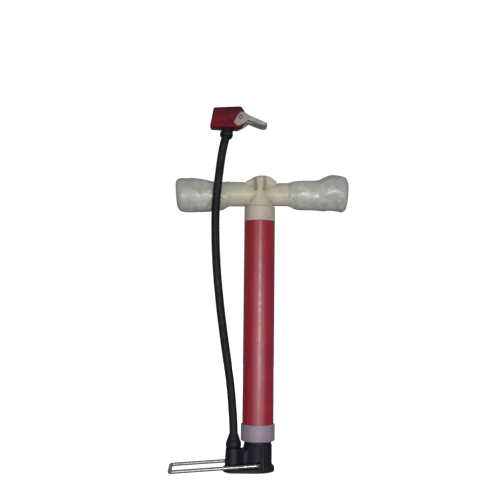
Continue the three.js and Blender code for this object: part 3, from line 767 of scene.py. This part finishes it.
HUB_BOTTOM, DOME_TOP = 253.8, 284.4
HUB_PROFILE = [
    (-20, HUB_BOTTOM - 5), (15.2, HUB_BOTTOM - 5), (15.2, 256), (12.6, 267), (12.6, 279), (8.8, 283.4),
    (4.5, DOME_TOP), (-20, DOME_TOP),
]  # distance from the axis, height
DOME_SLOPE, DOME_SLOPE_X = 0.5, -2.3  # the dome falls away to the left of this x
SHOULDERS = [(-19, 270), (-19, 276), (-2.3, DOME_TOP), (8.3, DOME_TOP), (17.5, 277.6), (17.5, 270)]
SHOULDER_HALF = 8
LEFT_NECK, RIGHT_NECK = (12.2, 30.5), (11.5, 28.5)  # radius, end
NECK_SQUEEZE = 1.1  # how many times higher than deep the necks are
CORE_RADIUS, CORE_END = 9.5, 75
SEAM_RADIUS, SEAM_LOW = 0.55, 257.5
FLUTE_RADIUS, FLUTE_CIRCLE, FLUTE_LOW, FLUTE_TURNS = 2.0, 11.9, 268.3, (-112.5, -67.5, 67.5, 112.5)
NUT_POCKET, NUT_POCKET_TOP, ROD_HOLE_TOP = 7.8, 260.3, 276.3

# Rows of distance from the pump's axis, height of the middle, and half height.
LEFT_GRIP = [
    (30.9, 266.3, 12.6), (36, 264.5, 13.7), (46, 263.9, 14.7), (58, 264.3, 16.3), (65, 264.8, 16.8),
    (73, 264.9, 16.7), (78.4, 265, 16.5), (81.8, 265.2, 13.4),
]
RIGHT_GRIP = [
    (28.9, 266.4, 11.95), (37, 265.5, 14.2), (50, 265.8, 14.9), (57.5, 265.7, 15.2), (64, 266.9, 16.9),
    (70.4, 268.8, 17.7), (76, 268, 17.6), (82.4, 266.7, 17.6), (85.7, 265.3, 13.2),
]
GRIP_DEPTH, GRIP_END_SLANT = 0.95, 0.08  # shares of the half height
GRIP_BORE, GRIP_BORE_END, GRIP_LIP = 9.8, 75.3, 0.3
GRIP_SIDES = 144
CREASES = ((15, 0.9, 0), (6, 0.35, 7))  # size, depth, and what is added to the seed


def handle_field(p):
    x, y, z = p.T
    hub = convex(np.stack([np.hypot(x, y), z], axis=1), HUB_PROFILE, 2.0)
    slope = (z - DOME_TOP - DOME_SLOPE * (x - DOME_SLOPE_X)) / math.hypot(1, DOME_SLOPE)
    hub = soft_max(hub, slope, 2)
    shoulders = slab(convex(p[:, [0, 2]], SHOULDERS, 2.5), y, SHOULDER_HALF, 5)
    hub = soft_min(hub, shoulders, 1.8)
    squeezed, middle = p * (1, NECK_SQUEEZE, 1), (0, 0, ARM_Z)
    left = rod_along(squeezed, middle, -ALONG_X, LEFT_NECK[0], -2, LEFT_NECK[1], 0.4)
    right = rod_along(squeezed, middle, ALONG_X, RIGHT_NECK[0], -2, RIGHT_NECK[1], 0.4)
    core = rod_along(p, middle, ALONG_X, CORE_RADIUS, -CORE_END, CORE_END, 1.5)
    necks = np.minimum(left, right)
    seam = np.maximum(np.hypot(hub, necks) - SEAM_RADIUS, SEAM_LOW - z)
    solid = cut(soft_min(hub, necks, 1.8), seam, 1.0)
    solid = np.minimum(solid, core)
    solid = soft_max(solid, HUB_BOTTOM - z, 0.8)
    for degrees in FLUTE_TURNS:
        turn = math.radians(degrees)
        place = FLUTE_CIRCLE * np.array([math.cos(turn), math.sin(turn)])
        solid = cut(solid, upright(p, place, FLUTE_RADIUS, FLUTE_LOW, 300, 1.6), 0.6)
    hexagon = convex(p[:, :2], circle(NUT_POCKET, 6), 0.2)
    solid = cut(solid, np.maximum(hexagon, z - NUT_POCKET_TOP), 0.5)
    return cut(solid, upright(p, (0, 0), ROD_RADIUS + GAP, 200, ROD_HOLE_TOP), 0.4)


def crumple(points, outward, size_mm, depth_mm, seed):
    """Moves points in and out by creased noise, as soft plastic gets from being squeezed."""
    moved = points.copy()
    for i, (point, direction) in enumerate(zip(points, outward)):
        at = Vector(point) / size_mm + Vector((seed, 0, 0))
        crease = 0.35 - abs(noise.noise(at))
        moved[i] = point + direction * depth_mm * (crease + 0.6 * noise.noise(at * 0.37))
    return moved


def grip(rows, side, node, seed):
    """A soft sleeve over one arm, open at its rim and closed at its tip."""
    rim, tip = rows[0][0], rows[-1][0]
    edge = rows[0][2] - GRIP_LIP
    inner_lip = (ARM_Z, edge, edge * GRIP_DEPTH)
    outline = [(rim - 0.9, *inner_lip), (rim - 0.9, ARM_Z, edge + 0.2, edge * GRIP_DEPTH + 0.2)]
    outline += [(distance, middle, half, half * GRIP_DEPTH) for distance, middle, half in rows]
    outline += [(tip, rows[-1][1], 0, 0)]
    outside = spaced(fillet(outline, 12, closed=False, steps=8), 0.55)
    inside = np.array([
        (GRIP_BORE_END, ARM_Z, 0, 0), (GRIP_BORE_END, ARM_Z, GRIP_BORE, GRIP_BORE),
        (rim, ARM_Z, GRIP_BORE, GRIP_BORE), (rim, *inner_lip),
    ])
    angles = round_about(GRIP_SIDES)

    def rings(line):
        along, middle, half, depth = (column[:, None] for column in line.T)
        up = half * np.sin(angles)
        lean = np.clip((along - tip + 8) / 4, 0, 1) * up * GRIP_END_SLANT
        return np.stack([side * (along + lean), depth * np.cos(angles), middle + up], axis=-1)

    skin = rings(outside).reshape(-1, 3)
    outward = np.tile(np.stack([0 * angles, np.cos(angles), np.sin(angles)], axis=1), (len(outside), 1))
    fade = np.clip((outside[:, 0] - rim) / 4, 0, 1) * np.clip((outside[:, 2] - 6) / 6, 0, 1)
    outward = outward * np.repeat(fade, GRIP_SIDES)[:, None]
    for size, crease_depth, more in CREASES:
        skin = crumple(skin, outward, size, crease_depth, seed + more)
    points = np.concatenate([skin, rings(inside).reshape(-1, 3)])
    faces = ring_faces(len(outside) + len(inside), GRIP_SIDES)
    make_piece(node, (points, faces), SLEEVE, "handle_and_rod")


def handle():
    make_piece("handle", moulded(handle_field, *box_mm("handle"), 0.42), MILKY, "handle_and_rod")
    grip(LEFT_GRIP, -1, "grip_sleeve_left", 3)
    grip(RIGHT_GRIP, 1, "grip_sleeve_right", 11)


# ------------ piston and rod

PISTON_RADIUS = 13.2
THREAD_PITCH, THREAD_DEPTH, THREAD_LENGTH = 0.8, 0.35, 7
STOP_LOW, STOP_HIGH, STOP_RADIUS = 65.3, 67, 6  # the bead of the rod under the bump washer
CUP_FLOOR = 52


def hex_nut(node, corners, hole, body):
    """A hexagonal nut whose corners are chamfered above and below."""
    low, high = heights(node)
    middle, half = (low + high) / 2, (high - low) / 2

    def field(p):
        flat = slab(convex(p[:, :2], circle(corners, 6), 0.2), p[:, 2] - middle, half, 0.2)
        cone = np.hypot(p[:, 0], p[:, 1]) + (np.abs(p[:, 2] - middle) - half) * 1.7 - corners * 0.88
        return cut(soft_max(flat, cone * 0.5, 0.1), upright(p, (0, 0), hole, 0, 400), 0.3)

    make_piece(node, moulded(field, *box_mm(node), 0.25), STEEL, body)


def piston():
    bore, outer = ROD_RADIUS + GAP, PISTON_RADIUS
    low, high = heights("piston_rod")
    thread = []
    for z in np.arange(low + 1, low + 1 + THREAD_LENGTH, THREAD_PITCH):
        thread += [(ROD_RADIUS - THREAD_DEPTH, z), (ROD_RADIUS, z + THREAD_PITCH / 2)]
    turned("piston_rod", [
        (0, low), (ROD_RADIUS - 0.4, low), *thread, (ROD_RADIUS, 53), (ROD_RADIUS, STOP_LOW),
        (STOP_RADIUS, STOP_LOW), (STOP_RADIUS, STOP_HIGH), (ROD_RADIUS, STOP_HIGH),
        (ROD_RADIUS, high - 0.8), (ROD_RADIUS - 0.8, high), (0, high),
    ], STEEL, 0.15, 64, body="handle_and_rod")
    low, high = heights("piston_body")
    groove = [(outer, low + 3), (outer - 1.2, low + 3.6), (outer - 1.2, high - 3.6), (outer, high - 3)]
    turned("piston_body", [(bore, low), (outer, low), *groove, (outer, high), (bore, high)],
           WHITE, body="piston")
    low, high = heights("piston_cup")
    turned("piston_cup", [
        (bore, CUP_FLOOR), (outer - 2.4, CUP_FLOOR), (outer - 0.9, low), (outer, low),
        (outer, low + 3), (outer - 0.3, high), (bore, high),
    ], SEAL, 0.4, body="piston")
    for node, radius, finish in (("cup_washer", 9, STEEL), ("bump_washer", 8, SEAL)):
        turned(node, band(bore, radius, *heights(node)), finish, 0.35, body="piston")
    hex_nut("piston_nut", 6.4, bore, "piston")
    hex_nut("rod_nut", 7.5, bore, "handle_and_rod")


# ------------ air way

BARB_HOLE, BARB_STEM, BARB_ROOT, BARB_PITCH = 1.1, 1.9, 1.55, 1.9
SPRING_WIRE, SPRING_COIL, SPRING_TURNS = 0.35, 2.6, 2.5


def barbed(node, axis, low, flange_low, flange_high, top, thread, flange):
    """A pierced brass barb: a threaded root, a flange and a ridged stem for the hose."""
    ridges = []
    for z in np.arange(flange_high + 1.2, top - 1.6, BARB_PITCH):
        ridges += [(BARB_ROOT, z), (BARB_STEM, z + 0.15), (BARB_ROOT, z + 1.7)]
    turned(node, [
        (BARB_HOLE, low), (thread, low), (thread, flange_low), (flange, flange_low),
        (flange, flange_high), (BARB_ROOT, flange_high), *ridges, (BARB_ROOT, top), (BARB_HOLE, top),
    ], BRASS, 0.12, 48, axis)


def air_way():
    in_head = (SOCKET_DIRECTION, HEAD_PIN + (SOCKET_X, 0, 0))
    barbed("hose_barb", AT_BOSS, 19.5, 22.9, 24.6, 33.5, thread=4.2, flange=5.5)
    barbed("head_barb", in_head, 7, 8, 10.5, 19.4, thread=2.9, flange=2.9)
    low, high = heights("check_valve_seat")
    turned("check_valve_seat", [(2, low), (4.2, low), (4.2, high), (2.5, high), (2, high - 0.5)],
           SEAL, 0.2, 64, AT_BOSS)
    low, high = heights("check_valve_ball")
    middle, radius = (low + high) / 2, (high - low) / 2
    arc = [(radius * math.sin(t), middle - radius * math.cos(t)) for t in np.linspace(0, math.pi, 25)]
    arc[0], arc[-1] = (0, arc[0][1]), (0, arc[-1][1])
    turned("check_valve_ball", arc, STEEL, 0, 48, AT_BOSS, body="valve_ball")
    low, high = heights("check_valve_spring")
    share = np.linspace(0, 1, 121)
    turn = share * SPRING_TURNS * 2 * math.pi
    helix = np.stack([
        BOSS[0] + SPRING_COIL * np.cos(turn), BOSS[1] + SPRING_COIL * np.sin(turn),
        low + SPRING_WIRE + share * (high - low - 2 * SPRING_WIRE),
    ], axis=1)
    make_piece("check_valve_spring", tube(helix, SPRING_WIRE, sides=12), STEEL)


# ------------ stirrup

WIRE_RADIUS, WIRE_BEND, WIRE_END_Y = 1.75, 3, 9
FRONT_STRETCH, REAR_STRETCH = 0.6, 3  # the end bar lies a little askew, as the wire was bent


def stirrup():
    """A U of plated wire whose ends turn inwards into the base and whose far end rests on the floor."""
    low, high = box_mm("stirrup")
    radius = WIRE_RADIUS
    arm_y, end_x, (pivot_x, pivot_z) = high[1] - radius, low[0] + radius, PIVOT
    corners = [
        (pivot_x, -WIRE_END_Y, pivot_z), (pivot_x, -arm_y, pivot_z),
        (end_x - FRONT_STRETCH, -arm_y, radius), (end_x - REAR_STRETCH, arm_y, radius),
        (pivot_x, arm_y, pivot_z), (pivot_x, WIRE_END_Y, pivot_z),
    ]
    line = spaced(fillet(corners, WIRE_BEND, closed=False, steps=10), 0.8)
    make_piece("stirrup", tube(line, radius, 0.4), WIRE, "stirrup")


# ------------ valve head, about the lever's pin

HEAD_OUTLINE = [(-29.4, -9), (-2.6, -10.2), (3.2, -4.8), (4.6, 4.6), (0.4, 11), (-25.9, 9.8)]
CHEEK_OUTLINE = [
    (-7, -5), (-5.6, -7), (-2.8, -8.6), (1.8, -7.4), (6.3, -4), (5.8, 3.2), (3.2, 4.7), (-0.4, 5.6),
]
ARM_OUTLINE = [(5, -2.6), (15.4, -6.5), (18.8, -7.9), (22.4, -8.2), (25.9, -6), (5.6, 3.2), (4.6, 3.6)]
HEAD_HALF, SLOT_HALF, SLOT_END, PIN_RADIUS = 8, 2.6, -6.6, 1.5
MOUTH_BORE, MOUTH_END = 6, -8.6  # radius, x of the bottom
RING_BORE, RING_SEAT = 6.9, -23.1
PUSH_HOLE, HOSE_SOCKET = 2.5, 3.2
FERRULE_RADIUS, FERRULE_TOP, FERRULE_END = 5.6, 5, 19.4
BEAD_RADIUS, BEAD_TOP, BEAD_END = 6.1, 15, 18.6
LEVER_HALF, CHEEK_INSIDE, CHEEK_REACH = 10.1, 8.3, 12.4
TONGUE_OUTLINE, TONGUE_HALF = [(0, -3.5), (13.4, -4.5), (13.4, 0.5), (0, 3.5)], 2.3
CAM_RADIUS, CAM_THROW, CAM_TURN = 4, 2, 95
GRIP_LINE, GROOVES, GROOVE_RADIUS = np.array([(11, 0.75), (23, -4.7)]), 6, 0.75  # ribs for the thumb


def head_block(p, grow=0.0):
    flat = convex(p[:, [0, 2]], HEAD_OUTLINE, 1.6) - grow
    return slab(flat, p[:, 1], HEAD_HALF + grow, 1.8)


def head_field(p):
    flat = convex(p[:, [0, 2]], HEAD_OUTLINE, 1.6)
    seam = np.maximum(np.abs(p[:, 1]) - 0.3, -0.3 - flat)
    solid = cut(head_block(p), seam, 0.2)
    for radius, low, high, edge in ((MOUTH_BORE, -THROUGH, MOUTH_END, 0.4),
                                    (RING_BORE, -THROUGH, RING_SEAT, 0.3), (PUSH_HOLE, -10, 0, 0.3)):
        solid = cut(solid, rod_along(p, (0, 0, 0), ALONG_X, radius, low, high), edge)
    slot = block(p, (SLOT_END, -SLOT_HALF, -THROUGH), (THROUGH, SLOT_HALF, THROUGH), 0)
    solid = cut(solid, slot, 0.8)
    solid = cut(solid, np.hypot(p[:, 0], p[:, 2]) - PIN_RADIUS - GAP, 0.4)
    return cut(solid, rod_along(p, (SOCKET_X, 0, 0), SOCKET_DIRECTION, HOSE_SOCKET, 0, THROUGH), 0.3)


def ferrule_field(p):
    start = (SOCKET_X, 0, 0)
    sleeve = rod_along(p, start, SOCKET_DIRECTION, FERRULE_RADIUS, FERRULE_TOP, FERRULE_END, 0.7)
    bead = rod_along(p, start, SOCKET_DIRECTION, BEAD_RADIUS, BEAD_TOP, BEAD_END, 0.8)
    solid = cut(soft_min(sleeve, bead, 1.2), head_block(p, GAP), 0.3)
    return cut(solid, rod_along(p, start, SOCKET_DIRECTION, HOSE_RADIUS + GAP, 0, THROUGH), 0.6)


def lever_field(p):
    x, y, z = p.T
    flat = soft_min(convex(p[:, [0, 2]], CHEEK_OUTLINE, 1.2), convex(p[:, [0, 2]], ARM_OUTLINE, 1.4), 2)
    arm = slab(flat, y, LEVER_HALF, 0.8)
    around = np.hypot(x, z)
    arm = cut(arm, slab(around - CHEEK_REACH, y, CHEEK_INSIDE, 0.6), 0.8)
    tongue = slab(convex(p[:, [0, 2]], TONGUE_OUTLINE, 0.5), y, TONGUE_HALF, 0.3)
    turn = np.degrees(np.arctan2(z, x)) % 360
    cam_radius = CAM_RADIUS + CAM_THROW * np.clip((180 - turn) / CAM_TURN, 0, 1)
    cam = slab(around - cam_radius, y, TONGUE_HALF, 0.3)
    solid = soft_min(arm, soft_min(tongue, cam, 0.8), 0.8)
    start, end = GRIP_LINE
    for share in np.linspace(0.35, 1, GROOVES):
        groove = start + (end - start) * share + (0.25, 0.6)
        solid = cut(solid, np.hypot(x - groove[0], z - groove[1]) - GROOVE_RADIUS, 0.4)
    return cut(solid, around - PIN_RADIUS - GAP, 0.3)


def beside_pin(node, field, step, finish, body="pump_body"):
    """A moulded piece whose field is described about the lever's pin."""
    low, high = box_mm(node)
    points, faces = moulded(field, low - HEAD_PIN, high - HEAD_PIN, step)
    make_piece(node, (points + HEAD_PIN, faces), finish, body)


def valve_head():
    beside_pin("head_body", head_field, 0.27, RED_HEAD)
    beside_pin("head_ferrule", ferrule_field, 0.25, BLACK)
    beside_pin("lever", lever_field, 0.25, GREY, "lever")
    mouth = (ALONG_X, HEAD_PIN)
    turned("mouth_ring", band(4.3, 6.6, -25.9, -23.4), BLACK, 0.5, axis=mouth)
    turned("mouth_grommet", [(3.9, -23.1), (5.7, -23.1), (5.7, -18.3), (3.2, -18.3), (3.2, -22)],
           SEAL, 0.4, axis=mouth)
    low, high = box_mm("lever_pin")
    half = (high[1] - low[1]) / 2
    turned("lever_pin", [
        (0, -half), (PIN_RADIUS - 0.3, -half), (PIN_RADIUS, 0.5 - half), (PIN_RADIUS, half - 0.5),
        (PIN_RADIUS - 0.3, half), (0, half),
    ], PIN, 0.3, 48, ((0, 1, 0), HEAD_PIN))


# ------------ hose


def hose():
    """The rubber hose, seen from end to end, stiff enough to hold the head up."""
    line = smooth_line(HOSE_ROUTE)
    piece = make_piece("hose", tube(line, HOSE_RADIUS, 0.3), RUBBER)


barrel_and_ends()
base()
handle()
piston()
air_way()
stirrup()
valve_head()
hose()

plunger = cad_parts["head_plunger"]
plunger.data.materials.clear()
plunger.data.materials.append(WHITE.material)

# ------------ stage and light

ROOM_RADIUS, ROOM_HEIGHT, ROOM_CURVE, ROOM_SIDES = 2600, 4000, 900, 64
OPEN_RINGS = 6  # rings of faces from the middle of the floor to the top of the wall, without the ceiling


def stage():
    """A pale round floor that curves up into a wall all round, far enough off to stay plain."""
    outline = [(0, 0), (ROOM_RADIUS, 0), (ROOM_RADIUS, ROOM_HEIGHT), (0, ROOM_HEIGHT)]
    points, faces = lathe(outline, ROOM_CURVE, ROOM_SIDES)
    mesh = bpy.data.meshes.new("backdrop")
    mesh.from_pydata((points * MM).tolist(), [], faces[:ROOM_SIDES * OPEN_RINGS].tolist())
    mesh.polygons.foreach_set("use_smooth", [True] * len(mesh.polygons))
    paper = Finish("paper", Roughness=0.9, Specular_IOR_Level=0.1,
                   Emission_Strength=0.85, Emission_Color=(1, 1, 1, 1))
    paper.colour(paper.blend(paper.noise(40), (0.84, 0.84, 0.84), (0.87, 0.87, 0.87)))
    mesh.materials.append(paper.material)
    sheet = placed("backdrop", mesh)
    sheet.visible_glossy = sheet.visible_diffuse = sheet.visible_shadow = False


def soft_light(name, place, aim, width, height, watts):
    data = bpy.data.lights.new(name, "AREA")
    data.shape, data.size, data.size_y, data.energy = "RECTANGLE", width, height, watts
    lamp = placed(name, data)
    lamp.location = place
    lamp.rotation_euler = (Vector(aim) - Vector(place)).to_track_quat("-Z", "Y").to_euler()
    lamp.visible_camera = False
    return lamp


def light():
    """Soft boxes in front at the height of the object, others above and behind, and a dim room."""
    middle = (0, 0, 0.16)
    soft_light("key", (0.13, -1.35, 0.18), middle, 0.16, 0.2, 5.6)
    soft_light("front", (-0.5, -1.3, 0.1), middle, 0.9, 0.7, 4.3)
    soft_light("low", (0.3, -0.9, 0.03), (0, 0, 0.25), 0.9, 0.3, 3.2)
    soft_light("top", (0.1, -0.2, 1.6), (0, 0, 0), 1.6, 1.6, 0.6)
    soft_light("back", (0.2, 1.4, 0.7), middle, 1.5, 1.5, 13).visible_glossy = False
    world = bpy.data.worlds.new("room")
    world.use_nodes = True
    tree = world.node_tree
    up = tree.nodes.new("ShaderNodeSeparateXYZ")
    tree.links.new(tree.nodes.new("ShaderNodeTexCoord").outputs["Generated"], up.inputs[0])
    shade = tree.nodes.new("ShaderNodeMapRange")
    tree.links.new(up.outputs["Z"], shade.inputs["Value"])
    for socket, value in (("From Min", -0.3), ("From Max", 0.4), ("To Min", 0.16), ("To Max", 0.25)):
        shade.inputs[socket].default_value = value
    background = tree.nodes["Background"]
    background.inputs["Color"].default_value = (0.9, 0.94, 1.0, 1)
    tree.links.new(shade.outputs["Result"], background.inputs["Strength"])
    bpy.context.scene.world = world
    bpy.context.scene.view_settings.view_transform = "Standard"


stage()
light()
